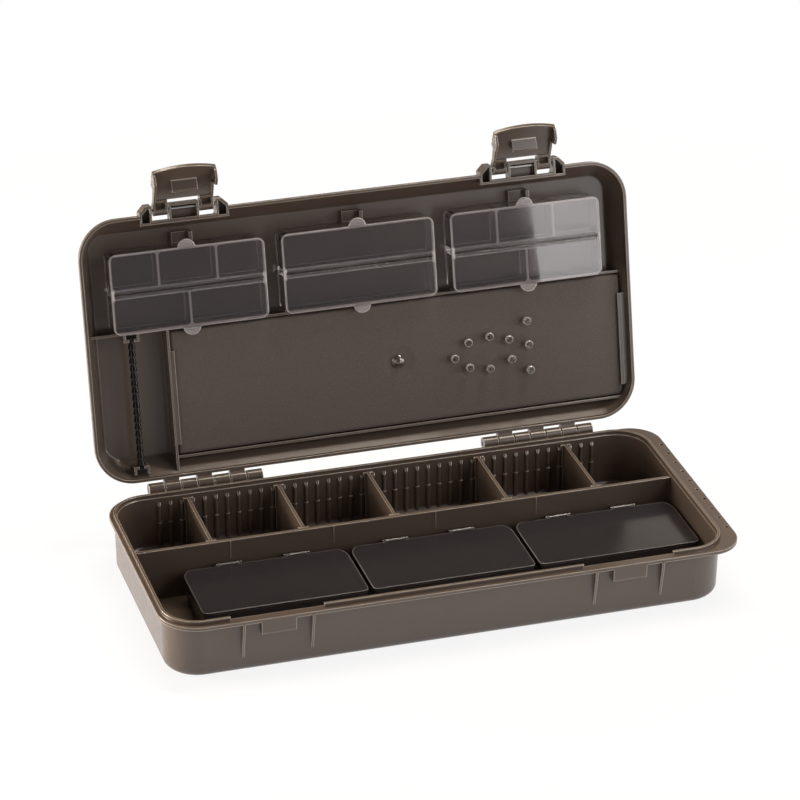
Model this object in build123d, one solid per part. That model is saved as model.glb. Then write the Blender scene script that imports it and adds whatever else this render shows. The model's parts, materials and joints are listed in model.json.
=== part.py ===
import os
from math import radians, tan
from build123d import *

os.makedirs("parts", exist_ok=True)

# Overall sizes, millimetres
lid_length = 360.0
lid_depth = 170.0
corner_r = 25.0
rim_z = 37.0
lid_rise = 19.5
open_angle = 103.1
part_gap = 0.3
pin_fit = 0.05
bite = 0.5

# Base tray walls, rim and raised lip
flange_t = 2.2
wall_t = 2.2
floor_t = 2.2
side_flange = 2.8
end_flange = 3.8
draft = 1.2
foot_r = 5.0
bay_r = 3.0
lip_h = 2.5
lip_t = 1.7
lip_step = 0.9

# Measuring ledge on the right
ledge_reach = 6.8
ledge_r = 20.0
hole_count = 10
hole_pitch = 12.7
hole_r = 1.2
hole_edge = 2.4

# Long partition and comb ribs
partition_y = 16.5
partition_top_t = 2.4
partition_foot_t = 4.0
partition_drop = 1.2
rib_count = 40
rib_pitch = 7.4
rib_low_w = 3.0
rib_low_reach = 2.0
rib_low_h = 17.8
rib_high_w = 2.0
rib_high_reach = 1.6
rib_tip_slope = 2.4
rib_round = 0.45
rib_drop = 3.0
small_rib_reach = 1.8
ridge_count = 4
ridge_pitch = 66.4
ridge_shift = -15.1
ridge_w = 0.9
ridge_reach = 0.5
ridge_low = 24.0

# Loose dividers
divider_slots = (2, 10, 18, 28, 36)
divider_t = 2.0
divider_drop = 1.5
divider_bar_w = 6.4
divider_head_t = 1.5
divider_fit = 0.3

# Hinges and latches share two stations along the length
station_inset = 69.0
hinge_back = 5.6
knuckle_r = 4.2
knuckle_count = 7
knuckle_pitch = 10.7
knuckle_gap = 0.8
web_gap = 0.4
hinge_pin_r = 1.5

# Lid shell
rim_band_h = 2.9
lid_t = 2.0
lid_end_lean = 29.0
lid_side_lean = 36.0
lid_top_r = 12.0
lid_edge_r = 5.0
lid_inner_r = 1.2
lid_floor_t = 2.2

# Latch bracket on the lid
bracket_front = 5.6
bracket_back = 6.4
bracket_h = 8.4
bracket_wall = 1.4
ear_w = 7.9
ear_slope = 4.0
bar_h = 4.0
lip_break_extra = 0.5
recess_half = 20.6
recess_back = 4.4
recess_step = 3.0
recess_lean = 3.0
block_half = 9.6
block_h = 6.6
pocket_deep = 4.6
latch_out = 2.0
latch_h = 4.2
latch_pin_r = 1.2

# Latch lever
lever_gap = 1.4
lever_flare = 1.1
lever_notch = 7.6
lever_len = 32.0
lever_t = 2.4
lever_bow = 1.6
lever_tip_set = 0.8
lever_crown_r = 62.0
lever_open = 60.0
leg_clear = 0.7
leg_wall = 1.4
leg_barrel_r = 3.7
leg_core = 2.2
catch_half = 8.2
catch_gap = 0.4
catch_reach = 3.6
catch_face = 1.4
catch_run = 6.0
cheek_t = 1.5
cheek_slim = 1.0
cheek_deep = 4.8
cheek_from = 17.5
cheek_tip = 4.0

# Keepers and gussets on the tray front
keeper_half = 10.8
keeper_drop = 11.0
keeper_lean = 0.8
keeper_chamfer = 1.2
gusset_off = 21.5
gusset_t = 1.6
gusset_len = 28.5
gusset_straight = 6.0
gusset_lean = 0.6

# Lid furniture
cross_rib_y = -9.6
rib_t = 1.6
cross_rib_rise = 8.3
left_bay = 53.4
left_rib_rise = 12.8
rear_rib_inset = 11.6
rear_rib_rise = 10.8
rail_t = 1.4
rail_over = 2.4
rail_reach = 6.0
rail_w = 2.6
rail_gap = 0.4
rail_top_end = 13.6
rail_low_end = 8.7
clip_w = 12.5
clip_d = 7.2
clip_rise = 3.0
hook_w = 2.2
hook_d = 5.6
hook_rise = 8.0
boss_r = 3.6

# Foam board, stud and rig pins
foam_t = 7.5
foam_stand = 3.8
foam_margin = 0.6
foam_end = 3.8
support_count = 4
stud_x = 23.0
stud_y = 30.3
stud_r = 4.5
stud_rise = 2.4
stud_shank_r = 1.6
pin_spots = (
    (109.4, 13.9), (83.6, 21.1), (69.2, 23.3), (96.6, 24.5), (109.9, 29.5),
    (59.6, 32.6), (97.9, 37.9), (69.3, 39.8), (83.0, 42.3), (110.0, 46.5),
)
pin_head_r = 2.7
pin_head_t = 2.2
pin_head_chamfer = 0.7
pin_stand = 2.4
pin_shank_r = 0.6
pin_through = 2.0

# Beaded hook strip
strip_inset = 29.7
strip_stand = 12.3
bead_count = 17
bead_thin_r = 1.6
bead_wide_r = 2.4
bead_shoulder = 0.3
neck_r = 1.2
neck_len = 2.0
bar_w = 6.5
bar_t = 3.0
fork_half = 5.0
fork_wall = 1.5
fork_rise = 14.1

# Bit boxes in the lid
bit_margin = 16.8
bit_between = 11.2
bit_front_margin = 20.8
bit_rib_gap = 0.5
bit_r = 4.5
bit_face = 0.6
bit_wall = 1.5
bit_floor = 1.5
bit_spine = 4.6
bit_pocket_r = 2.0
flap_t = 1.3
flap_gap = 0.2
flap_axis_y = 1.7
flap_axis_rise = 0.5
flap_barrel_r = 1.2
flap_end_gap = 0.3
pintle_r = 0.8
tab_r = 5.6
upper_cells = (0.305, 0.695)
lower_cells = (0.5,)

# Accessory boxes in the front bay
acc_left_space = 27.6
acc_right_space = 2.8
acc_between = 2.9
acc_d = 56.9
acc_h = 19.5
acc_back_gap = 2.0
acc_lid_t = 1.8
acc_skirt_t = 1.2
acc_skirt_h = 5.2
acc_fit = 0.4
acc_wall = 1.5
acc_row_d = 19.0
acc_split_t = 1.2
acc_split_drop = 1.5
rear_cells = (3, 2, 4)
acc_rear_r = 12.0
acc_front_r = 3.6
acc_barrel_r = 1.9
acc_barrel_rise = 0.5
acc_rod_r = 1.1
acc_clip_off = 21.7
acc_clip_len = 12.5
lug_t = 1.8
lug_drop = 3.4

# Values that follow from the ones above
half_l = lid_length / 2
half_d = lid_depth / 2
station_x = half_l - station_inset
stations = (-station_x, station_x)
hinge_y = half_d + hinge_back
hinge_half = knuckle_count * knuckle_pitch / 2
shell_half_l = half_l - side_flange
shell_half_d = half_d - end_flange
shell_r = corner_r - side_flange
bay_half_l = shell_half_l - wall_t
bay_half_d = shell_half_d - wall_t
bay_corner_r = shell_r - wall_t
lip_half_l = bay_half_l + lip_step
lip_half_d = bay_half_d + lip_step
lip_corner_r = bay_corner_r + lip_step
bracket_half = recess_half + ear_w
lid_low = rim_z + part_gap
band_top = lid_low + rim_band_h
lid_top = rim_z + lid_rise
lid_floor = lid_top - lid_floor_t
in_half_l = half_l - lid_t
in_half_d = half_d - lid_t
in_corner_r = corner_r - lid_t
end_slope = tan(radians(lid_end_lean))
side_slope = tan(radians(lid_side_lean))
pivot_y = -half_d - latch_out
pivot_z = rim_z + latch_h
hinge_axis = Axis((0, hinge_y, rim_z), (1, 0, 0))


def block(x0, x1, y0, y1, z0, z1):
    return Pos((x0 + x1) / 2, (y0 + y1) / 2, (z0 + z1) / 2) * Box(abs(x1 - x0), abs(y1 - y0), abs(z1 - z0))


def slab(half_x, half_y, r, z0, z1, taper=0.0):
    outline = Pos(0, 0, z0) * RectangleRounded(2 * half_x, 2 * half_y, r)
    return extrude(outline, abs(z1 - z0), dir=(0, 0, 1 if z1 > z0 else -1), taper=taper)


def pan(shrink, z1, top_r):
    half_x = half_l - shrink
    half_y = half_d - shrink
    rise = z1 - band_top
    rim = Pos(0, 0, band_top) * RectangleRounded(2 * half_x, 2 * half_y, corner_r - shrink)
    top_x = half_x - rise * end_slope
    top_y = half_y - rise * side_slope
    top = Pos(0, 0, z1) * RectangleRounded(2 * top_x, 2 * top_y, top_r)
    return loft([rim, top], ruled=True)


def rod(x0, x1, y, z, r):
    return Pos((x0 + x1) / 2, y, z) * Rot(0, 90, 0) * Cylinder(r, abs(x1 - x0))


def post(x, y, z0, z1, r):
    return Pos(x, y, (z0 + z1) / 2) * Cylinder(r, abs(z1 - z0))


def prism_yz(points, x0, x1):
    outline = make_face(Polyline(*[(min(x0, x1), y, z) for y, z in points], close=True))
    return extrude(outline, abs(x1 - x0), dir=(1, 0, 0))


def prism_xy(points, z0, z1):
    outline = make_face(Polyline(*[(x, y, z0) for x, y in points], close=True))
    return extrude(outline, z1 - z0, dir=(0, 0, 1))


def comb(xs, width, y0, y1, z0, z1):
    tooth = RectangleRounded(width, y1 - y0, rib_round * width)
    plan = Sketch() + [Pos(x, (y0 + y1) / 2, z0) * tooth for x in xs]
    return extrude(plan, z1 - z0, dir=(0, 0, 1))


def swing(shape):
    return shape.rotate(hinge_axis, -open_angle)


def save(shape, name):
    shape.label = name
    export_step(shape, "parts/" + name + ".step")


def knuckles(cx, first, web_low, web_high, root_y):
    shapes = []
    for i in range(first, knuckle_count, 2):
        x0 = cx - hinge_half + i * knuckle_pitch + knuckle_gap / 2
        x1 = x0 + knuckle_pitch - knuckle_gap
        shapes.append(rod(x0, x1, hinge_y, rim_z, knuckle_r))
        shapes.append(block(x0, x1, root_y, hinge_y, web_low, web_high))
    return shapes


def hinge_bore(cx):
    return rod(cx - hinge_half - bite, cx + hinge_half + bite, hinge_y, rim_z, hinge_pin_r + pin_fit)


# Base tray: drafted tub with a flanged rim, measuring ledge and raised lip
shell_top = rim_z - flange_t
tub = slab(shell_half_l, shell_half_d, shell_r, shell_top, 0, draft)
tub = fillet(tub.edges().group_by(Axis.Z)[0], foot_r)
hollow = slab(bay_half_l, bay_half_d, bay_corner_r, rim_z, floor_t, draft)
hollow = fillet(hollow.edges().group_by(Axis.Z)[0], bay_r)
flange = slab(half_l, half_d, corner_r, shell_top, rim_z)
ledge_out = half_l + ledge_reach
ledge_plan = Pos(ledge_out / 2, 0, shell_top) * RectangleRounded(ledge_out, lid_depth, ledge_r)
ledge = extrude(ledge_plan, flange_t, dir=(0, 0, 1))
lip = slab(lip_half_l + lip_t, lip_half_d + lip_t, lip_corner_r + lip_t, rim_z, rim_z + lip_h)
lip -= slab(lip_half_l, lip_half_d, lip_corner_r, rim_z, rim_z + lip_h)
for cx in stations:
    reach = bracket_half + lip_break_extra
    lip -= block(cx - reach, cx + reach, -half_d, -lip_half_d + lip_t, rim_z, rim_z + lip_h)
tub_solid = tub + flange + ledge
tray = tub_solid - hollow + lip
for i in range(hole_count):
    y = (i - (hole_count - 1) / 2) * hole_pitch
    tray -= post(ledge_out - hole_edge, y, shell_top - bite, rim_z + bite, hole_r)

# Long partition with a comb on its rear face, facing the comb on the rear wall
partition_top = rim_z - partition_drop
foot_half = partition_foot_t / 2
top_half = partition_top_t / 2
rib_low_z = floor_t / 2
rib_step_z = floor_t + rib_low_h
rib_top = rim_z - rib_drop
rib_root = bay_half_d + wall_t / 2
rib_xs = [(i - (rib_count - 1) / 2) * rib_pitch for i in range(rib_count)]
partition = prism_yz([
    (partition_y - foot_half, rib_low_z), (partition_y + foot_half, rib_low_z),
    (partition_y + top_half, partition_top), (partition_y - top_half, partition_top),
], -bay_half_l - bite, bay_half_l + bite)
low_ribs = comb(rib_xs, rib_low_w, bay_half_d - rib_low_reach, rib_root, rib_low_z, rib_step_z)
high_edge = bay_half_d - rib_high_reach
high_ribs = comb(rib_xs, rib_high_w, high_edge, rib_root, rib_step_z, rib_top)
high_ribs -= prism_yz([
    (high_edge - bite, rib_top + bite), (high_edge - bite, rib_top - rib_tip_slope),
    (high_edge, rib_top - rib_tip_slope), (bay_half_d, rib_top), (bay_half_d, rib_top + bite),
], -half_l, half_l)
small_edge = partition_y + top_half + small_rib_reach
small_ribs = comb(rib_xs, rib_high_w, partition_y, small_edge, rib_low_z, rib_top)
ridge_xs = [ridge_shift + (i - (ridge_count - 1) / 2) * ridge_pitch for i in range(ridge_count)]
ridges = comb(ridge_xs, ridge_w, partition_y - top_half - ridge_reach, partition_y, ridge_low, partition_top)
tray = tray + [feature & tub_solid for feature in (partition, low_ribs, high_ribs, small_ribs, ridges)]

# Keepers and gussets under the front flange
wall_root = -shell_half_d + wall_t / 2
keeper_z = rim_z - keeper_drop
for cx in stations:
    tray += prism_yz([
        (wall_root, shell_top), (-half_d, shell_top), (-half_d, keeper_z + keeper_chamfer),
        (-half_d + keeper_lean, keeper_z), (wall_root, keeper_z),
    ], cx - keeper_half, cx + keeper_half)
    for off in (-gusset_off, gusset_off):
        tray += prism_yz([
            (wall_root, shell_top), (-half_d, shell_top),
            (-half_d + gusset_lean, shell_top - gusset_straight), (wall_root, shell_top - gusset_len),
        ], cx + off - gusset_t / 2, cx + off + gusset_t / 2)
    tray = tray + knuckles(cx, 0, rim_z - knuckle_r, rim_z - web_gap, shell_half_d)
    tray -= hinge_bore(cx)
save(tray, "base_tray")

pin_half = hinge_half - knuckle_gap
hinge_pins = [rod(cx - pin_half, cx + pin_half, hinge_y, rim_z, hinge_pin_r) for cx in stations]
save(Compound(children=hinge_pins), "hinge_pins")

# Lid, drawn closed and swung open when it is saved
dome = pan(0.0, lid_top, lid_top_r)
dome = fillet(dome.edges().group_by(Axis.Z)[-1], lid_edge_r)
outside = slab(half_l, half_d, corner_r, lid_low, band_top) + dome
bowl = pan(lid_t, lid_floor, lid_top_r - lid_t)
bowl = fillet(bowl.edges().group_by(Axis.Z)[-1], lid_inner_r)
inside = slab(in_half_l, in_half_d, in_corner_r, lid_low, band_top) + bowl


def recess(cx, grow):
    back = -half_d + recess_back + grow
    front = pivot_y - bracket_front - grow
    return prism_yz([
        (front, lid_low - bite), (back, lid_low - bite), (back, lid_low + recess_step),
        (back + recess_lean, lid_top + bite), (front, lid_top + bite),
    ], cx - recess_half - grow, cx + recess_half + grow)


def ear(cx, side, inset, z0, z1):
    inner = cx + side * (recess_half + inset)
    outer = cx + side * (bracket_half - inset)
    front = -half_d - bracket_front + inset
    back = -half_d + bracket_back - inset
    return prism_xy([
        (inner, back), (inner, front), (outer - side * ear_slope, front),
        (outer, front + ear_slope), (outer, back),
    ], z0, z1)


for cx in stations:
    inside -= recess(cx, lid_t)
lid = outside - inside
bracket_y = -half_d - bracket_front
block_back = -half_d + recess_back
bar_back = -half_d + bracket_back
for cx in stations:
    lid -= recess(cx, 0.0)
    lid += block(cx - block_half, cx + block_half, bracket_y, block_back + lid_t / 2,
                 lid_low, rim_z + block_h)
    lid += block(cx - recess_half - bite, cx + recess_half + bite, block_back, bar_back,
                 lid_low, lid_low + bar_h)
    for side in (-1, 1):
        lid += ear(cx, side, 0.0, lid_low, rim_z + bracket_h)
    for side in (-1, 1):
        lid -= ear(cx, side, bracket_wall, lid_low - bite, rim_z + bracket_h - bracket_wall)
    room = block_half - bracket_wall
    lid -= block(cx - room, cx + room, bracket_y + bracket_wall, block_back - bite, lid_low - bite,
                 lid_low + pocket_deep)
    pin_end = recess_half + bracket_wall + pin_fit
    lid -= rod(cx - pin_end, cx + pin_end, pivot_y, pivot_z, latch_pin_r + pin_fit)

# Ribs, rails, clips and foam supports moulded into the lid
left_rib_x = -half_l + left_bay
rear_rib_y = half_d - rear_rib_inset
foam_back = lid_floor - foam_stand
foam_face = foam_back - foam_t
rail_z1 = foam_face - rail_gap
rail_z0 = rail_z1 - rail_t
rail_y0 = cross_rib_y + rail_top_end
rail_y1 = rear_rib_y - rail_low_end
right_rail_x = in_half_l - rail_reach
root = lid_floor + bite
half_rib = rib_t / 2
foam_x0 = left_rib_x + half_rib + foam_margin
foam_x1 = in_half_l - foam_end
ribs = [
    block(-in_half_l, in_half_l, cross_rib_y - half_rib, cross_rib_y + half_rib,
          lid_floor - cross_rib_rise, root),
    block(left_rib_x - half_rib, left_rib_x + half_rib, cross_rib_y, in_half_d,
          lid_floor - left_rib_rise, root),
    block(left_rib_x, in_half_l, rear_rib_y - half_rib, rear_rib_y + half_rib,
          lid_floor - rear_rib_rise, root),
    block(left_rib_x, left_rib_x + half_rib + rail_over, rail_y0, rail_y1, rail_z0, rail_z1),
    block(right_rail_x, right_rail_x + rail_w, rail_y0, rail_y1, rail_z0, rail_z1),
    block(right_rail_x, in_half_l + bite, rail_y0, rail_y1, rail_z1 - rail_t / 2, rail_z1),
]
for i in range(support_count):
    x = foam_x0 + (i + 1) * (foam_x1 - foam_x0) / (support_count + 1)
    ribs.append(block(x - half_rib, x + half_rib, cross_rib_y, rear_rib_y, foam_back + part_gap, root))
ribs.append(post(stud_x, stud_y, foam_back + part_gap, root, boss_r))
bit_w = (2 * (in_half_l - bit_margin) - 2 * bit_between) / 3
bit_step = bit_w + bit_between
bit_y0 = -in_half_d + bit_front_margin
clip_y = bit_y0 - part_gap
for i in (-1, 0, 1):
    x = i * bit_step + clip_w / 2
    ribs.append(block(x - clip_w, x, clip_y - clip_d, clip_y, lid_floor - clip_rise, root))
    ribs.append(block(x - hook_w, x, clip_y - clip_d, clip_y - clip_d + hook_d, lid_floor - hook_rise, root))

# Forks that hold the ends of the hook strip
strip_x = -half_l + strip_inset
strip_z = lid_floor - strip_stand
bar_y0 = cross_rib_y - half_rib + part_gap
bar_y1 = in_half_d - (strip_z + bar_t / 2 - band_top) * side_slope - part_gap
bead_y0 = bar_y0 + bar_t + neck_len
bead_y1 = bar_y1 - bar_t - neck_len
bead_pitch = (bead_y1 - bead_y0) / bead_count
strip_ends = ((bead_y0 - neck_len, -1), (bead_y1 + neck_len, 1))
for end, way in strip_ends:
    face = end - way * (fork_wall + part_gap)
    tail = end + way * (bar_t + part_gap)
    fork = block(strip_x - fork_half, strip_x + fork_half, face, tail, lid_floor - fork_rise, root)
    slot_z = strip_z + bar_t / 2 + part_gap
    slot_half = neck_r + part_gap
    seat_half = bar_w / 2 + part_gap
    fork -= block(strip_x - slot_half, strip_x + slot_half, face - way, end, rim_z, slot_z)
    fork -= block(strip_x - seat_half, strip_x + seat_half, end - way * part_gap, tail + way, rim_z, slot_z)
    ribs.append(fork)
lid = lid + [rib & outside for rib in ribs]
lid -= post(stud_x, stud_y, foam_back - bite, lid_floor - bite, stud_shank_r + pin_fit)
for cx in stations:
    lid = lid + knuckles(cx, 1, lid_low, rim_z + knuckle_r, in_half_d)
    lid -= hinge_bore(cx)
save(swing(lid), "lid_shell")

# Latch pins and levers
pin_end = recess_half + bracket_wall - part_gap
latch_pins = [rod(cx - pin_end, cx + pin_end, pivot_y, pivot_z, latch_pin_r) for cx in stations]
save(Compound(children=[swing(pin) for pin in latch_pins]), "latch_pins")

lever_half = recess_half - lever_gap
lever_wide = lever_half + lever_flare
leg_in = block_half + leg_clear
catch_z = keeper_z - catch_gap


def lever(cx):
    y = pivot_y
    z = pivot_z
    neck_z = z - lever_notch
    tip_z = z - lever_len
    mid_z = (neck_z + tip_z) / 2
    outer_tip = (cx, y - lever_t - lever_tip_set, tip_z)
    inner_tip = (cx, y - lever_tip_set, tip_z)
    outer_arc = ThreePointArc((cx, y - lever_t, neck_z), (cx, y - lever_t - lever_bow, mid_z), outer_tip)
    inner_arc = ThreePointArc(inner_tip, (cx, y - lever_bow, mid_z), (cx, y, neck_z))
    ends = Line(outer_tip, inner_tip) + Line((cx, y, neck_z), (cx, y - lever_t, neck_z))
    hood = extrude(make_face(outer_arc + inner_arc + ends), lever_wide, dir=(1, 0, 0), both=True)
    crown = Pos(cx, y, tip_z + lever_crown_r) * Rot(90, 0, 0) * Cylinder(lever_crown_r, 4 * lever_len)
    hood = hood & crown
    for side in (-1, 1):
        slim = cx + side * lever_half
        wide = cx + side * lever_wide
        hood -= block(slim, wide + side, y - lever_len, y + lever_len, z - cheek_from, z + lever_len)
        hood += prism_yz([
            (y - lever_bow, neck_z), (y + cheek_slim, neck_z), (y + cheek_slim, z - cheek_from - bite),
            (y - lever_bow, z - cheek_from - bite),
        ], slim - side * cheek_t, slim)
        hood += prism_yz([
            (y - lever_bow, z - cheek_from), (y + cheek_slim, z - cheek_from),
            (y + cheek_deep, z - cheek_from - cheek_t), (y + cheek_deep, tip_z + 2 * cheek_tip),
            (y + cheek_slim, tip_z + cheek_tip), (y - lever_bow, tip_z + cheek_tip),
        ], wide - side * cheek_t, wide)
        inner = cx + side * leg_in
        leg = rod(inner, slim, y, z, leg_barrel_r) + prism_yz([
            (y - lever_t, neck_z - bite), (y - leg_barrel_r, z), (y + cheek_slim, z),
            (y + cheek_slim, neck_z), (y, neck_z - bite),
        ], inner, slim)
        leg -= block(inner + side * leg_wall, slim - side * leg_wall, y - leg_wall + bite, y + lever_len,
                     neck_z + leg_wall, z - leg_core)
        hood += leg
    hood += prism_yz([
        (y - lever_bow, catch_z), (y + catch_reach, catch_z), (y + catch_reach, catch_z - catch_face),
        (y - lever_bow, catch_z - catch_run),
    ], cx - catch_half, cx + catch_half)
    hood -= rod(cx - recess_half, cx + recess_half, y, z, latch_pin_r + pin_fit)
    return hood


pivot_axis = Axis((0, pivot_y, pivot_z), (1, 0, 0))
for cx, name in zip(stations, ("latch_left", "latch_right")):
    save(swing(lever(cx).rotate(pivot_axis, -lever_open)), name)

# Foam board with its stud and rig pins
foam_y0 = cross_rib_y + half_rib + foam_margin
foam_y1 = rear_rib_y - half_rib - foam_margin
foam = block(foam_x0, foam_x1, foam_y0, foam_y1, foam_face, foam_back)
foam = foam & pan(lid_t + foam_margin, foam_back, lid_top_r)
foam -= post(stud_x, stud_y, foam_face - bite, foam_back + bite, stud_shank_r + pin_fit)
pin_holes = Sketch() + [Pos(x, y, foam_face) * Circle(pin_shank_r + pin_fit) for x, y in pin_spots]
foam -= extrude(pin_holes, foam_t, dir=(0, 0, 1))
save(swing(foam), "foam_board")

dome_r = (stud_r ** 2 + stud_rise ** 2) / (2 * stud_rise)
cap_z = foam_face - part_gap / 3
cap = Pos(stud_x, stud_y, cap_z - stud_rise + dome_r) * Sphere(dome_r)
cap = cap & post(stud_x, stud_y, cap_z - dome_r, cap_z, dome_r)
stud = cap + post(stud_x, stud_y, cap_z - bite, lid_floor - 2 * bite, stud_shank_r)
save(swing(stud), "foam_stud")

rig_pins = []
head_z = foam_face - pin_stand
for x, y in pin_spots:
    head = post(x, y, head_z - pin_head_t, head_z, pin_head_r)
    head = chamfer(head.edges().group_by(Axis.Z)[0], pin_head_chamfer)
    rig_pins.append(swing(head + post(x, y, head_z - bite, foam_back + pin_through, pin_shank_r)))
save(Compound(children=rig_pins), "rig_pins")

# Hook strip: a row of cone beads turned about its own axis, with a bar at each end
profile = [(0.0, bead_y0 - neck_len - bite), (neck_r, bead_y0 - neck_len - bite), (neck_r, bead_y0)]
for i in range(bead_count):
    y = bead_y0 + i * bead_pitch
    profile.append((bead_thin_r, y))
    profile.append((bead_wide_r, y + bead_pitch - 3 * bead_shoulder))
    profile.append((bead_wide_r - bead_shoulder, y + bead_pitch - bead_shoulder))
    profile.append((bead_thin_r - bead_shoulder, y + bead_pitch))
profile += [(neck_r, bead_y1), (neck_r, bead_y1 + neck_len + bite), (0.0, bead_y1 + neck_len + bite)]
turned = revolve(make_face(Polyline(*[(r, y, 0) for r, y in profile], close=True)), Axis.Y, 360)
strip = Pos(strip_x, 0, strip_z) * turned
for end, way in strip_ends:
    strip += block(strip_x - bar_w / 2, strip_x + bar_w / 2, end, end + way * bar_t,
                   strip_z - bar_t / 2, strip_z + bar_t / 2)
save(swing(strip), "hook_strip")

# Bit boxes, drawn face up about their own centre and then turned face down into the lid
bit_y1 = cross_rib_y - half_rib - bit_rib_gap
bit_rest = lid_floor - part_gap
bit_h = bit_rest - rim_z - bit_face
bit_top = bit_h - flap_t - flap_gap
flap_axis_z = bit_top + flap_axis_rise
half_w = bit_w / 2
half_b = (bit_y1 - bit_y0) / 2
gutter = flap_axis_y + flap_barrel_r + part_gap


def bit_tray(upper, lower):
    body = slab(half_w, half_b, bit_r, 0, bit_top)
    room_w = bit_w - 2 * bit_wall
    y0 = bit_spine / 2
    y1 = half_b - bit_wall
    for way, cuts in ((1, upper), (-1, lower)):
        end_wall = (room_w + bit_wall) / 2
        walls = [-end_wall] + [(c - 0.5) * room_w for c in cuts] + [end_wall]
        for a, b in zip(walls, walls[1:]):
            cell = Pos((a + b) / 2, way * (y0 + y1) / 2, bit_floor) * RectangleRounded(
                b - a - bit_wall, y1 - y0, bit_pocket_r)
            body -= extrude(cell, bit_h, dir=(0, 0, 1))
    body -= block(-room_w / 2, room_w / 2, -gutter, gutter, flap_axis_z - flap_barrel_r - part_gap, bit_h)
    for side in (-1, 1):
        body += block(side * room_w / 2, side * half_w, -gutter, gutter, bit_top - bite, bit_h)
    for way in (-1, 1):
        body -= rod(-half_w - bite, half_w + bite, way * flap_axis_y, flap_axis_z, pintle_r + pin_fit)
    return body


def flap(way):
    y = way * flap_axis_y
    free = way * half_b
    z0 = bit_top + flap_gap
    z1 = z0 + flap_t
    plate = slab(half_w, half_b, bit_r, z0, z1) & block(-half_w, half_w, y, free, z0, z1)
    for side in (-1, 1):
        plate -= block(side * (half_w - bit_wall - flap_end_gap), side * (half_w + bite),
                       0, way * (gutter + flap_end_gap), z0 - bite, z1 + bite)
    tab = post(0, free - way * bite, z0, z1, tab_r)
    tab = tab & block(-tab_r, tab_r, free - way * bite, free + way * tab_r, z0, z1)
    barrel_half = half_w - bit_wall - flap_end_gap
    barrel = rod(-barrel_half, barrel_half, y, flap_axis_z, flap_barrel_r)
    pintle = rod(-half_w + flap_end_gap, half_w - flap_end_gap, y, flap_axis_z, pintle_r)
    return plate + tab + barrel + pintle


def seat_bit(shape, cx):
    return swing(Pos(cx, (bit_y0 + bit_y1) / 2, bit_rest) * Rot(180, 0, 0) * shape)


bit_kinds = (
    ("left", -1, upper_cells, lower_cells),
    ("middle", 0, (), ()),
    ("right", 1, upper_cells, lower_cells),
)
for name, i, upper, lower in bit_kinds:
    save(seat_bit(bit_tray(upper, lower), i * bit_step), "bit_tray_" + name)
    save(seat_bit(flap(1), i * bit_step), "bit_flap_upper_" + name)
    save(seat_bit(flap(-1), i * bit_step), "bit_flap_lower_" + name)

# Dividers for the rear bay, with T heads that slide between the ribs
draft_shift = (rim_z - floor_t) * tan(radians(draft))
comb_front = partition_y + foot_half + divider_fit
comb_rear = bay_half_d - draft_shift - divider_fit
head_low = rib_pitch - rib_low_w - 2 * divider_fit
head_high = rib_pitch - rib_high_w - 2 * divider_fit
divider_low = floor_t + divider_fit
divider_top = rim_z - divider_drop
bar_low = rib_top + divider_fit
for n, slot in enumerate(divider_slots):
    x = (slot + 0.5 - (rib_count - 1) / 2) * rib_pitch
    divider = block(x - divider_t / 2, x + divider_t / 2, comb_front, comb_rear, divider_low, divider_top)
    for y, way in ((comb_front, 1), (comb_rear, -1)):
        inner = y + way * divider_head_t
        for width, z0, z1 in ((head_low, divider_low, rib_step_z), (head_high, rib_step_z, bar_low),
                              (divider_bar_w, bar_low, divider_top)):
            divider += block(x - width / 2, x + width / 2, y, inner, z0, z1)
    divider -= prism_yz([
        (comb_rear - bay_r, divider_low), (comb_rear + bite, divider_low),
        (comb_rear + bite, divider_low + bay_r), (comb_rear, divider_low + bay_r),
    ], x - rib_pitch, x + rib_pitch)
    save(divider, "divider_" + str(n + 1))

# Accessory boxes: a tray with hinge rods and a clip-on lid with a skirt
acc_low = floor_t + part_gap
acc_top = acc_low + acc_h
acc_w = (2 * bay_half_l - acc_left_space - acc_right_space - 2 * acc_between) / 3
acc_hinge_y = partition_y - foot_half - acc_back_gap
acc_front = acc_hinge_y - acc_d
acc_axis_z = acc_top - acc_barrel_r + acc_barrel_rise
acc_half = acc_w / 2
side_gap = acc_skirt_t + acc_fit
plate_z = acc_top - acc_lid_t
skirt_z = plate_z - acc_skirt_h
body_top = plate_z - part_gap
body_half = acc_half - side_gap
body_front = acc_front + side_gap
body_rear = acc_hinge_y - acc_barrel_r - acc_fit
cover_rear = body_rear - part_gap
split_y = acc_hinge_y - acc_row_d
clip_spans = [(off - acc_clip_len / 2, off + acc_clip_len / 2) for off in (-acc_clip_off, acc_clip_off)]


def box_plan(half, y0, y1, rear_r, front_r, z0, z1):
    plan = block(-half, half, y0, y1, z0, z1)
    plan = fillet(plan.edges().filter_by(Axis.Z).sort_by(Axis.Y)[2:], rear_r)
    return fillet(plan.edges().filter_by(Axis.Z).sort_by(Axis.Y)[:2], front_r)


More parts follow.
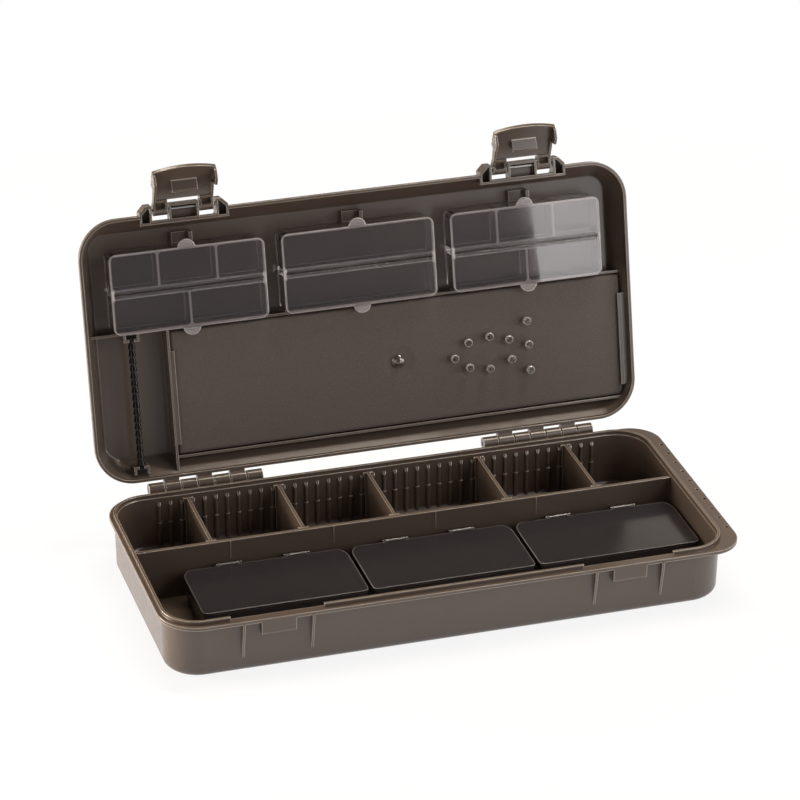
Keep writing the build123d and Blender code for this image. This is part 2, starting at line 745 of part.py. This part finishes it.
def accessory_body(cells):
    rear_r = acc_rear_r - side_gap
    body = box_plan(body_half, body_front, body_rear, rear_r, acc_front_r, acc_low, body_top)
    body -= box_plan(body_half - acc_wall, body_front + acc_wall, body_rear - acc_wall,
                     rear_r - acc_wall, acc_front_r - acc_wall, acc_low + acc_wall, body_top + bite)
    split_z = body_top - acc_split_drop
    body += block(-body_half + bite, body_half - bite, split_y, split_y + acc_split_t, acc_low + bite, split_z)
    for i in range(1, cells):
        x = (2 * i / cells - 1) * body_half
        body += block(x - acc_split_t / 2, x + acc_split_t / 2, split_y + bite, body_rear - bite,
                      acc_low + bite, split_z)
    for x0, x1 in clip_spans:
        inner = x0 - part_gap
        outer = x1 + part_gap
        body += rod(inner - bite, outer + bite, acc_hinge_y, acc_axis_z, acc_rod_r)
        for a, b in ((inner - lug_t, inner), (outer, outer + lug_t)):
            body += rod(a, b, acc_hinge_y, acc_axis_z, acc_barrel_r)
            body += block(a, b, body_rear - acc_wall / 2, acc_hinge_y + acc_barrel_r, acc_axis_z - lug_drop,
                          body_top)
    return body


def accessory_cover():
    cover = box_plan(acc_half, acc_front, acc_hinge_y, acc_rear_r, acc_front_r, skirt_z, acc_top)
    cover -= box_plan(acc_half - acc_skirt_t, acc_front + acc_skirt_t, acc_hinge_y + acc_rear_r,
                      acc_rear_r - acc_skirt_t, acc_front_r - acc_skirt_t, skirt_z - bite, plate_z)
    cover -= block(-acc_half, acc_half, cover_rear, acc_hinge_y + bite, skirt_z - bite, acc_top + bite)
    cover -= block(-acc_half, acc_half, body_rear - acc_rear_r, acc_hinge_y, skirt_z - bite, plate_z)
    for x0, x1 in clip_spans:
        cover += rod(x0, x1, acc_hinge_y, acc_axis_z, acc_barrel_r)
        cover += block(x0, x1, cover_rear - bite, acc_hinge_y, plate_z, acc_top)
        cover -= rod(x0 - bite, x1 + bite, acc_hinge_y, acc_axis_z, acc_rod_r + pin_fit)
    return cover


for n, cells in enumerate(rear_cells):
    cx = -bay_half_l + acc_left_space + acc_half + n * (acc_w + acc_between)
    save(Pos(cx, 0, 0) * accessory_body(cells), "accessory_box_" + str(n + 1))
    save(Pos(cx, 0, 0) * accessory_cover(), "accessory_lid_" + str(n + 1))
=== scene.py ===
import json
import math
import bpy
from mathutils import Matrix, Vector
from mathutils.kdtree import KDTree

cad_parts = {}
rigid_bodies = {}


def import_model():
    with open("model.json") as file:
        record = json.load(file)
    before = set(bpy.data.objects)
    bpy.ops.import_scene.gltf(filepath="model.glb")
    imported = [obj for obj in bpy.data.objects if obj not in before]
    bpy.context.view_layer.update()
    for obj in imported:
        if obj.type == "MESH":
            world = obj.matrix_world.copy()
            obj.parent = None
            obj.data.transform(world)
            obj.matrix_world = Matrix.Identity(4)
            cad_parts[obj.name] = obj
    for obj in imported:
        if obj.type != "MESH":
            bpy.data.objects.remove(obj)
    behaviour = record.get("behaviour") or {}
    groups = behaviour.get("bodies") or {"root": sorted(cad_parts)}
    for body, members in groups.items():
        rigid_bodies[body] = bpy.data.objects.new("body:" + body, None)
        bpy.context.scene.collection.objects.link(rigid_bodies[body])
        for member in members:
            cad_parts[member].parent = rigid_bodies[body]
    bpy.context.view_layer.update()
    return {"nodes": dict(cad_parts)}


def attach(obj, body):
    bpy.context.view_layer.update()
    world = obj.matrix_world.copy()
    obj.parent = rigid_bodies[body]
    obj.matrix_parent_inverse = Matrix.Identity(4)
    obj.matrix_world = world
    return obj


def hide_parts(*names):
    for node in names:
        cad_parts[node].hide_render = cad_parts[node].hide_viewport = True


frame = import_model()
nodes = frame["nodes"]
scene = bpy.context.scene
scene.view_settings.view_transform = "Standard"
print("frame loaded,", len(nodes), "moulded parts")


def hexColour(code):
    # sRGB hex to the linear values that the shaders take
    channels = [int(code[i:i + 2], 16) / 255 for i in (1, 3, 5)]
    return tuple(c / 12.92 if c <= 0.04045 else ((c + 0.055) / 1.055) ** 2.4 for c in channels) + (1.0,)


def perMm(size):
    # texture scale whose features are about this many millimetres across
    return 1000.0 / size


def addNode(tree, kind, settings=None, links=None):
    # adds one node, sets its properties or sockets, and links its inputs
    node = tree.nodes.new(kind)
    for name, value in (settings or {}).items():
        if isinstance(name, str) and hasattr(node, name):
            setattr(node, name, value)
        else:
            node.inputs[name].default_value = value
    for name, source in (links or {}).items():
        tree.links.new(source, node.inputs[name])
    return node


def newMaterial(name, sockets):
    material = bpy.data.materials.new(name)
    material.use_nodes = True
    tree = material.node_tree
    shader = tree.nodes["Principled BSDF"]
    for socket, value in sockets.items():
        shader.inputs[socket].default_value = value
    coords = addNode(tree, "ShaderNodeTexCoord").outputs["Object"]
    return material, tree, shader, coords


# Camera: a long lens from the front left, above the tray
camera = {"place": (-0.6211, -1.9624, 1.1761), "tiltDeg": 62.35, "turnDeg": -16.27, "rollDeg": -0.12,
          "lensMm": 170.5, "sensorMm": 36.0, "shift": (0.0748, 0.0473)}
bpy.ops.object.select_all(action="DESELECT")
bpy.ops.object.camera_add(location=camera["place"])
cameraObject = bpy.context.object
cameraTurn = (Matrix.Rotation(math.radians(camera["turnDeg"]), 4, "Z")
              @ Matrix.Rotation(math.radians(camera["tiltDeg"]), 4, "X")
              @ Matrix.Rotation(math.radians(camera["rollDeg"]), 4, "Z"))
cameraObject.matrix_world = Matrix.Translation(camera["place"]) @ cameraTurn
cameraObject.data.lens = camera["lensMm"]
cameraObject.data.sensor_width = camera["sensorMm"]
cameraObject.data.shift_x, cameraObject.data.shift_y = camera["shift"]
scene.camera = cameraObject
print("camera set")

# Moulded polypropylene, satin taupe, from a spark-eroded tool: a fine even grain that spreads the light,
# a slow drift of tone from the flow of the melt, and a painted highlight on the outer corners, which are
# paler and carry a clear coat as if polished by handling; the grain is drawn coarser than the real one, which
# is too fine to show
shellFinish = {"deep": "#4d4239", "body": "#574941", "cornerHighlight": "#a99b8c", "driftMm": 38, "grainMm": 0.9,
               "scuffMm": 7, "edgeMm": 0.7, "roughness": (0.22, 0.265), "sheen": 0.66, "polish": 0.0}
# The same plastic in black, for the boxes' bodies: glossier, with only a faint painted highlight on its outer
# corners
darkBodyFinish = {"deep": "#1d1c1c", "body": "#232222", "cornerHighlight": "#3a3836", "driftMm": 30, "grainMm": 0.9,
                  "scuffMm": 6, "edgeMm": 0.3, "roughness": (0.18, 0.30), "sheen": 0.6, "polish": 0.0}
# Black and smooth from a polished tool, for the bead strip: deep flats, and beads with faintly lit rims
stripFinish = {"deep": "#0b0a0a", "body": "#121110", "cornerHighlight": "#4a4643", "driftMm": 12, "grainMm": 0.7,
               "scuffMm": 3, "edgeMm": 0.45, "roughness": (0.10, 0.18), "sheen": 0.2, "polish": 0.0}
# Moulded and polished, for the domed stud: one bright mirrored patch on a dark dome
studFinish = {"deep": "#453b33", "body": "#4d433a", "cornerHighlight": "#6f6459", "driftMm": 9, "grainMm": 0.6,
              "scuffMm": 2, "edgeMm": 0.4, "roughness": (0.12, 0.2), "sheen": 0.6, "polish": 1.0}
grainBump = {"Strength": 0.14, "Distance": 0.00006}


def mouldedShell(name, finish):
    material, tree, shader, coords = newMaterial(name, {"IOR": 1.49, "Specular IOR Level": finish["sheen"],
                                                        "Coat Weight": finish["polish"], "Coat IOR": 1.8,
                                                        "Coat Roughness": 0.1})
    drift = addNode(tree, "ShaderNodeTexNoise", {"Scale": perMm(finish["driftMm"]), "Detail": 4.0},
                    {"Vector": coords})
    scuff = addNode(tree, "ShaderNodeTexNoise", {"Scale": perMm(finish["scuffMm"]), "Detail": 6.0},
                    {"Vector": coords})
    grain = addNode(tree, "ShaderNodeTexNoise", {"Scale": perMm(finish["grainMm"]), "Detail": 2.0},
                    {"Vector": coords})
    tone = addNode(tree, "ShaderNodeMix", {"data_type": "RGBA", 6: hexColour(finish["deep"]),
                                           7: hexColour(finish["body"])}, {0: drift.outputs["Fac"]})
    # outer corners only: there a short ray into the plastic soon comes out again
    inside = addNode(tree, "ShaderNodeAmbientOcclusion", {"samples": 4, "inside": True, "only_local": True,
                                                          "Distance": finish["edgeMm"] / 1000})
    corner = addNode(tree, "ShaderNodeMapRange", {"From Min": 0.9, "From Max": 0.45},
                     {"Value": inside.outputs["AO"]})
    rounded = addNode(tree, "ShaderNodeBevel", {"samples": 6, "Radius": finish["edgeMm"] / 1000})
    # painted highlight: the outer corners get the paler corner colour, standing in for light caught on their
    # rounding
    paint = addNode(tree, "ShaderNodeMix", {"data_type": "RGBA", 7: hexColour(finish["cornerHighlight"])},
                    {0: corner.outputs["Result"], 6: tone.outputs[2]})
    smooth, rough = finish["roughness"]
    gloss = addNode(tree, "ShaderNodeMapRange", {"From Min": 0.3, "From Max": 0.7, "To Min": smooth,
                                                 "To Max": rough}, {"Value": scuff.outputs["Fac"]})
    bump = addNode(tree, "ShaderNodeBump", grainBump,
                   {"Height": grain.outputs["Fac"], "Normal": rounded.outputs["Normal"]})
    tree.links.new(paint.outputs[2], shader.inputs["Base Color"])
    tree.links.new(gloss.outputs["Result"], shader.inputs["Roughness"])
    tree.links.new(bump.outputs["Normal"], shader.inputs["Normal"])
    tree.links.new(rounded.outputs["Normal"], shader.inputs["Coat Normal"])
    if not finish["polish"]:
        # where the whole piece isn't polished, its outer corners are
        tree.links.new(corner.outputs["Result"], shader.inputs["Coat Weight"])
    return material


# Clear crystal polystyrene, injection moulded and polished: sharp reflections, slightly grey in thick walls,
# pale and less clear along its edges, partly frosted and partly a painted highlight for light that runs
# inside the wall and comes out there, and hair-fine handling scratches
flapFinish = {"tint": "#f4efef", "cloud": "#ece6e7", "edge": "#f0e8e5", "edgeMm": 1.0, "edgeFrostAndHighlight": 0.78,
              "hazeMm": 22, "scratchMm": 2.4, "roughness": (0.015, 0.04)}
trayFinish = {"tint": "#f8f5f4", "cloud": "#f0ebea", "edge": "#e2d9d7", "edgeMm": 0.5, "edgeFrostAndHighlight": 0.65,
              "hazeMm": 22, "scratchMm": 2.4, "roughness": (0.03, 0.08)}
# The smoked grade has dye in the melt, so flat faces are dark; only rims and corners are painted grey, a
# painted highlight for light caught in them
smokedFinish = {"tint": "#504b4e", "cloud": "#464245", "edge": "#b0a6a3", "edgeMm": 0.9, "edgeFrostAndHighlight": 0.7,
                "hazeMm": 30, "scratchMm": 3.0, "roughness": (0.16, 0.24)}
# Clear polycarbonate, moulded small: dark in the middle, where the foam shows through, with a pale ring that
# is a painted highlight
pinFinish = {"tint": "#f1efec", "cloud": "#e0dcd8", "edge": "#d8d2cc", "edgeMm": 0.3, "edgeFrostAndHighlight": 0.42,
             "hazeMm": 4, "scratchMm": 1.2, "roughness": (0.05, 0.12)}
scratchStretch = 9.0
scratchBump = {"Strength": 0.04, "Distance": 0.00004}


def edgeMask(tree, radiusMm):
    # 1 on corners, 0 on flat faces, from how far a small bevel would turn the normal
    corner = addNode(tree, "ShaderNodeBevel", {"samples": 6, "Radius": radiusMm / 1000})
    face = addNode(tree, "ShaderNodeNewGeometry")
    align = addNode(tree, "ShaderNodeVectorMath", {"operation": "DOT_PRODUCT"},
                    {0: corner.outputs["Normal"], 1: face.outputs["Normal"]})
    mask = addNode(tree, "ShaderNodeMapRange", {"From Min": 0.99, "From Max": 0.82},
                   {"Value": align.outputs["Value"]})
    return mask.outputs["Result"], corner.outputs["Normal"]


def clearPlastic(name, finish, ior=1.59, transmission=1.0, paleZone=None, front=None):
    material, tree, shader, coords = newMaterial(name, {"IOR": ior})
    haze = addNode(tree, "ShaderNodeTexNoise", {"Scale": perMm(finish["hazeMm"]), "Detail": 3.0},
                   {"Vector": coords})
    stretch = addNode(tree, "ShaderNodeMapping", {"Scale": (1.0, scratchStretch, scratchStretch),
                                                  "Rotation": (0.0, 0.3, 0.4)}, {"Vector": coords})
    scratch = addNode(tree, "ShaderNodeTexNoise",
                      {"Scale": perMm(finish["scratchMm"]) / scratchStretch, "Detail": 2.0},
                      {"Vector": stretch.outputs["Vector"]})
    mask, rounded = edgeMask(tree, finish["edgeMm"])
    if front is not None:
        # a painted highlight: pale on the chamfer and sides, which turn away from the piece's flat front
        normal = addNode(tree, "ShaderNodeTexCoord").outputs["Normal"]
        facing = addNode(tree, "ShaderNodeVectorMath", {"operation": "DOT_PRODUCT", 1: front}, {0: normal})
        turned = addNode(tree, "ShaderNodeMapRange", {"From Min": 0.95, "From Max": 0.8},
                         {"Value": facing.outputs["Value"]})
        mask = turned.outputs["Result"]
    if paleZone:
        # a zone painted pale and less clear, frosting on the thumb tabs and partly a painted highlight on the
        # wall tops: all that lies further than its reach from a point along one direction
        along = addNode(tree, "ShaderNodeVectorMath", {"operation": "DOT_PRODUCT", 1: paleZone["along"]},
                        {0: coords})
        offset = addNode(tree, "ShaderNodeMath", {"operation": "SUBTRACT", 1: paleZone["point"]},
                         {0: along.outputs["Value"]})
        away = addNode(tree, "ShaderNodeMath", {"operation": "ABSOLUTE"}, {0: offset.outputs["Value"]})
        zone = addNode(tree, "ShaderNodeMapRange", {"From Min": paleZone["reach"], "To Max": paleZone["share"],
                                                    "From Max": paleZone["reach"] + paleZone["fade"]},
                       {"Value": away.outputs["Value"]})
        joined = addNode(tree, "ShaderNodeMath", {"operation": "MAXIMUM"},
                         {0: mask, 1: zone.outputs["Result"]})
        mask = joined.outputs["Value"]
    tone = addNode(tree, "ShaderNodeMix", {"data_type": "RGBA", 6: hexColour(finish["tint"]),
                                           7: hexColour(finish["cloud"])}, {0: haze.outputs["Fac"]})
    # the mask paints the pale edge colour and lowers the clearness: partly frosting, partly a painted
    # highlight for light caught along edges
    paint = addNode(tree, "ShaderNodeMix", {"data_type": "RGBA", 7: hexColour(finish["edge"])},
                    {0: mask, 6: tone.outputs[2]})
    through = addNode(tree, "ShaderNodeMapRange",
                      {"To Min": transmission, "To Max": transmission - finish["edgeFrostAndHighlight"]}, {"Value": mask})
    smooth, rough = finish["roughness"]
    gloss = addNode(tree, "ShaderNodeMapRange", {"From Min": 0.35, "From Max": 0.7, "To Min": smooth,
                                                 "To Max": rough}, {"Value": haze.outputs["Fac"]})
    bump = addNode(tree, "ShaderNodeBump", scratchBump, {"Height": scratch.outputs["Fac"], "Normal": rounded})
    tree.links.new(paint.outputs[2], shader.inputs["Base Color"])
    tree.links.new(through.outputs["Result"], shader.inputs["Transmission Weight"])
    tree.links.new(gloss.outputs["Result"], shader.inputs["Roughness"])
    tree.links.new(bump.outputs["Normal"], shader.inputs["Normal"])
    return material


# Closed-cell EVA foam, skived from a block: dull, with cut cells whose walls show as a fine paler net
foamFinish = {"deep": "#544b46", "body": "#5c534d", "pale": "#645b55", "cellMm": 0.5, "cloudMm": 40,
              "roughness": (0.78, 0.92)}
cellBump = {"Strength": 0.2, "Distance": 0.00006}


def closedCellFoam(name, finish):
    material, tree, shader, coords = newMaterial(name, {"IOR": 1.48, "Specular IOR Level": 0.35})
    cloud = addNode(tree, "ShaderNodeTexNoise", {"Scale": perMm(finish["cloudMm"]), "Detail": 5.0},
                    {"Vector": coords})
    cells = addNode(tree, "ShaderNodeTexVoronoi", {"Scale": perMm(finish["cellMm"])}, {"Vector": coords})
    tone = addNode(tree, "ShaderNodeMix", {"data_type": "RGBA", 6: hexColour(finish["deep"]),
                                           7: hexColour(finish["body"])}, {0: cloud.outputs["Fac"]})
    net = addNode(tree, "ShaderNodeMapRange", {"From Min": 0.45, "From Max": 0.85},
                  {"Value": cells.outputs["Distance"]})
    paint = addNode(tree, "ShaderNodeMix", {"data_type": "RGBA", 7: hexColour(finish["pale"])},
                    {0: net.outputs["Result"], 6: tone.outputs[2]})
    dull, duller = finish["roughness"]
    gloss = addNode(tree, "ShaderNodeMapRange", {"To Min": dull, "To Max": duller},
                    {"Value": cloud.outputs["Fac"]})
    bump = addNode(tree, "ShaderNodeBump", cellBump, {"Height": cells.outputs["Distance"]})
    tree.links.new(paint.outputs[2], shader.inputs["Base Color"])
    tree.links.new(gloss.outputs["Result"], shader.inputs["Roughness"])
    tree.links.new(bump.outputs["Normal"], shader.inputs["Normal"])
    return material


# Stainless steel wire, drawn through a die: bright, with fine lines along its length that smear reflections
wireFinish = {"dull": "#8f8d8a", "bright": "#bdbab6", "lineMm": 6.0, "lineStretch": 30.0,
              "roughness": (0.2, 0.42)}


def drawnSteel(name, finish):
    material, tree, shader, coords = newMaterial(name, {"Metallic": 1.0})
    stretch = finish["lineStretch"]
    lines = addNode(tree, "ShaderNodeMapping", {"Scale": (1.0, stretch, stretch)}, {"Vector": coords})
    draw = addNode(tree, "ShaderNodeTexNoise", {"Scale": perMm(finish["lineMm"]), "Detail": 3.0},
                   {"Vector": lines.outputs["Vector"]})
    tone = addNode(tree, "ShaderNodeMix", {"data_type": "RGBA", 6: hexColour(finish["dull"]),
                                           7: hexColour(finish["bright"])}, {0: draw.outputs["Fac"]})
    smooth, rough = finish["roughness"]
    gloss = addNode(tree, "ShaderNodeMapRange", {"To Min": smooth, "To Max": rough},
                    {"Value": draw.outputs["Fac"]})
    tree.links.new(tone.outputs[2], shader.inputs["Base Color"])
    tree.links.new(gloss.outputs["Result"], shader.inputs["Roughness"])
    return material


# The lid's own directions, from the foam's face: out of the lid, and up along it
foamCad = nodes["foam_board"]
lidOut = max((p for p in foamCad.data.polygons if p.normal.y < 0), key=lambda p: p.area).normal.copy()
lidUp = lidOut.cross(Vector((1.0, 0.0, 0.0)))


def spanAlong(node, way):
    steps = [v.co.dot(way) for v in nodes[node].data.vertices]
    return min(steps), max(steps)


# Thumb tabs lie beyond the boxes' upper and lower edges and are frosted; walls and partitions are pale along
# their tops, partly frosted and partly a painted highlight
frostAndHighlight = {"topMm": 1.8, "fadeMm": 0.3, "tabShare": 0.25, "topShare": 1.0}
trayDown, trayUp = spanAlong("bit_tray_middle", lidUp)
trayBack, trayFront = spanAlong("bit_tray_middle", lidOut)
tabZone = {"along": lidUp, "point": (trayDown + trayUp) / 2, "reach": (trayUp - trayDown) / 2,
           "fade": frostAndHighlight["fadeMm"] / 1000, "share": frostAndHighlight["tabShare"]}
wallTops = {"along": lidOut, "point": trayBack, "reach": trayFront - trayBack - frostAndHighlight["topMm"] / 1000,
            "fade": frostAndHighlight["fadeMm"] / 1000, "share": frostAndHighlight["topShare"]}
shell = mouldedShell("moulded_polypropylene", shellFinish)
materials = {
    "base_tray": shell, "lid_shell": shell, "latch": shell, "divider": shell,
    "accessory_box": mouldedShell("dark_polypropylene", darkBodyFinish),
    "accessory_lid": clearPlastic("smoked_polystyrene", smokedFinish, ior=1.57, transmission=0.75),
    # an index below the real 1.59, so that the thin walls mirror and bend less
    "bit_tray": clearPlastic("clear_polystyrene_tray", trayFinish, ior=1.3, paleZone=wallTops),
    "bit_flap": clearPlastic("clear_polystyrene_flap", flapFinish, transmission=0.975, paleZone=tabZone),
    "foam_board": closedCellFoam("closed_cell_eva_foam", foamFinish),
    "foam_stud": mouldedShell("stud_polypropylene", studFinish),
    "rig_pins": clearPlastic("clear_polycarbonate", pinFinish, ior=1.58, front=lidOut),
    "hook_strip": mouldedShell("black_polypropylene", stripFinish),
    "hinge_pins": drawnSteel("drawn_steel", wireFinish),
}
materials["latch_pins"] = materials["hinge_pins"]


def finishFor(node):
    # longest matching start of the node's name
    names = [n for n in materials if node.startswith(n)]
    return materials[max(names, key=len)]


for name, part in nodes.items():
    part.data.materials.clear()
    part.data.materials.append(finishFor(name))
print("finishes assigned")

# Foam pad: skived from soft sheet, so its cut edges are rounded, its face is a little uneven,
# and it gives where the pins and the stud press in
pad = {"weldMm": 0.02, "voxelMm": 1.3, "smoothPasses": 8, "dentMm": 0.6, "dentReachMm": 5.5, "nearMm": 2.0,
       "waveMm": 0.5, "waveSizeMm": 42}
bpy.ops.object.select_all(action="DESELECT")
foamCad.select_set(True)
bpy.context.view_layer.objects.active = foamCad
bpy.ops.object.duplicate()
foamPad = bpy.context.object
foamPad.name = "foam_pad"
bpy.ops.object.parent_clear(type="CLEAR_KEEP_TRANSFORM")
bpy.ops.object.mode_set(mode="EDIT")
bpy.ops.mesh.select_all(action="SELECT")
bpy.ops.mesh.remove_doubles(threshold=pad["weldMm"] / 1000)
bpy.ops.mesh.normals_make_consistent(inside=False)
bpy.ops.object.mode_set(mode="OBJECT")
remesh = foamPad.modifiers.new("cells", "REMESH")
remesh.mode = "VOXEL"
remesh.voxel_size = pad["voxelMm"] / 1000
bpy.ops.object.modifier_apply(modifier="cells")
soften = foamPad.modifiers.new("soften", "SMOOTH")
soften.factor = 0.5
soften.iterations = pad["smoothPasses"]
bpy.ops.object.modifier_apply(modifier="soften")
swell = bpy.data.textures.new("foam_swell", "CLOUDS")
swell.noise_scale = pad["waveSizeMm"] / 1000
wave = foamPad.modifiers.new("wave", "DISPLACE")
wave.texture = swell
wave.texture_coords = "GLOBAL"
wave.strength = pad["waveMm"] / 1000
bpy.ops.object.modifier_apply(modifier="wave")
pressed = [v.co for name in ("rig_pins", "foam_stud") for v in nodes[name].data.vertices]
nearest = KDTree(len(pressed))
for i, place in enumerate(pressed):
    nearest.insert(place, i)
nearest.balance()
for vertex in foamPad.data.vertices:
    # on the outer face, close to what presses in
    vertex.select = vertex.normal.dot(lidOut) > 0.5 and nearest.find(vertex.co)[2] < pad["nearMm"] / 1000
bpy.ops.object.mode_set(mode="EDIT")
bpy.ops.mesh.select_mode(type="VERT")
bpy.ops.transform.translate(value=lidOut * (-pad["dentMm"] / 1000), use_proportional_edit=True,
                            proportional_edit_falloff="SMOOTH", proportional_size=pad["dentReachMm"] / 1000)
bpy.ops.object.mode_set(mode="OBJECT")
bpy.ops.object.shade_smooth()
foamPad.data.materials.clear()
foamPad.data.materials.append(materials["foam_board"])
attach(foamPad, "lid")
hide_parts("foam_board")
print("foam pad shaped,", len(foamPad.data.polygons), "faces")

# Studio: white paper floor that keeps a soft shadow near the box
floor = {"size": 5.0, "drop": 0.0004, "paper": (0.86, 0.86, 0.86, 1.0), "roughness": 0.9,
         "nearGlow": 0.86, "nearAt": 0.3, "farAt": 0.8}
bpy.ops.object.select_all(action="DESELECT")
bpy.ops.mesh.primitive_plane_add(size=floor["size"], location=(0.0, 0.0, -floor["drop"]))
floorObject = bpy.context.object
floorObject.name = "studio_floor"
paper, tree, shader, coords = newMaterial("white_paper", {"Base Color": floor["paper"],
                                                          "Roughness": floor["roughness"]})
glow = addNode(tree, "ShaderNodeEmission", {"Strength": 1.0})
path = addNode(tree, "ShaderNodeLightPath")
distance = addNode(tree, "ShaderNodeVectorMath", {"operation": "LENGTH"}, {0: coords})
cover = addNode(tree, "ShaderNodeMapRange",
                {"From Min": floor["nearAt"], "From Max": floor["farAt"], "To Min": floor["nearGlow"]},
                {"Value": distance.outputs["Value"]})
mirrored = addNode(tree, "ShaderNodeMath", {"operation": "MAXIMUM"},
                   {0: path.outputs["Is Glossy Ray"], 1: path.outputs["Is Transmission Ray"]})
seen = addNode(tree, "ShaderNodeMath", {"operation": "MULTIPLY"},
               {0: path.outputs["Is Camera Ray"], 1: cover.outputs["Result"]})
share = addNode(tree, "ShaderNodeMath", {"operation": "MAXIMUM"},
                {0: mirrored.outputs["Value"], 1: seen.outputs["Value"]})
both = addNode(tree, "ShaderNodeMixShader", {}, {0: share.outputs["Value"], 1: shader.outputs["BSDF"],
                                                 2: glow.outputs["Emission"]})
tree.links.new(both.outputs["Shader"], tree.nodes["Material Output"].inputs["Surface"])
floorObject.data.materials.append(paper)

# Surroundings: white to the camera, and dim to the box itself
surroundings = {"light": 0.1, "seen": 1.0, "colour": (1.0, 1.0, 1.0, 1.0)}
world = bpy.data.worlds.new("studio")
scene.world = world
world.use_nodes = True
tree = world.node_tree
path = addNode(tree, "ShaderNodeLightPath")
level = addNode(tree, "ShaderNodeMapRange", {"To Min": surroundings["light"], "To Max": surroundings["seen"]},
                {"Value": path.outputs["Is Camera Ray"]})
tree.links.new(level.outputs["Result"], tree.nodes["Background"].inputs["Strength"])
tree.nodes["Background"].inputs["Color"].default_value = surroundings["colour"]

# Soft lamps: the strip behind and the left side are a little warmer than the rest
white, warm = "#ffffff", "#fff3e2"
lamps = {
    "rightKey": {"place": (0.9, -0.9, 1.0), "aim": (0, 0, 0.08),
                 "size": (0.6, 0.6), "watts": 6.0, "tint": white},
    "rightLow": {"place": (1.3, -0.5, 0.35), "aim": (0, 0.05, 0.1),
                 "size": (0.5, 0.5), "watts": 5.0, "tint": white},
    "rightPanel": {"place": (1.08, -1.62, 0.3), "aim": (0.1, 0.1, 0.15),
                   "size": (0.8, 0.8), "watts": 5.0, "tint": white},
    "rearStrip": {"place": (0.3, 0.38, 1.5), "aim": (0.1, 0.1, 0.05),
                  "size": (1.6, 0.26), "watts": 27.0, "tint": warm},
    "rearRight": {"place": (0.72, 1.4, 0.9), "aim": (0.12, -0.05, 0.04),
                  "size": (0.5, 0.4), "watts": 0.4, "tint": warm},
    "leftLow": {"place": (-0.9, 0.3, 0.12), "aim": (-0.1, 0, 0.05),
                "size": (0.5, 0.2), "watts": 15.5, "tint": warm},
    "leftFront": {"place": (-1.1, -0.9, 0.5), "aim": (0.1, 0, 0.1),
                  "size": (0.6, 0.6), "watts": 2.0, "tint": white},
    "leftBox": {"place": (-1.25, 0.2, 0.5), "aim": (-0.1, 0, 0.03),
                "size": (0.5, 0.4), "watts": 4.0, "tint": warm},
}
for lampName, lamp in lamps.items():
    bpy.ops.object.select_all(action="DESELECT")
    bpy.ops.object.light_add(type="AREA", location=lamp["place"])
    lampObject = bpy.context.object
    lampObject.name = lampName
    lampObject.data.shape = "RECTANGLE"
    lampObject.data.size, lampObject.data.size_y = lamp["size"]
    lampObject.data.energy = lamp["watts"]
    lampObject.data.color = hexColour(lamp["tint"])[:3]
    way = Vector(lamp["aim"]) - Vector(lamp["place"])
    lampObject.rotation_euler = way.to_track_quat("-Z", "Y").to_euler()
print("studio lit")
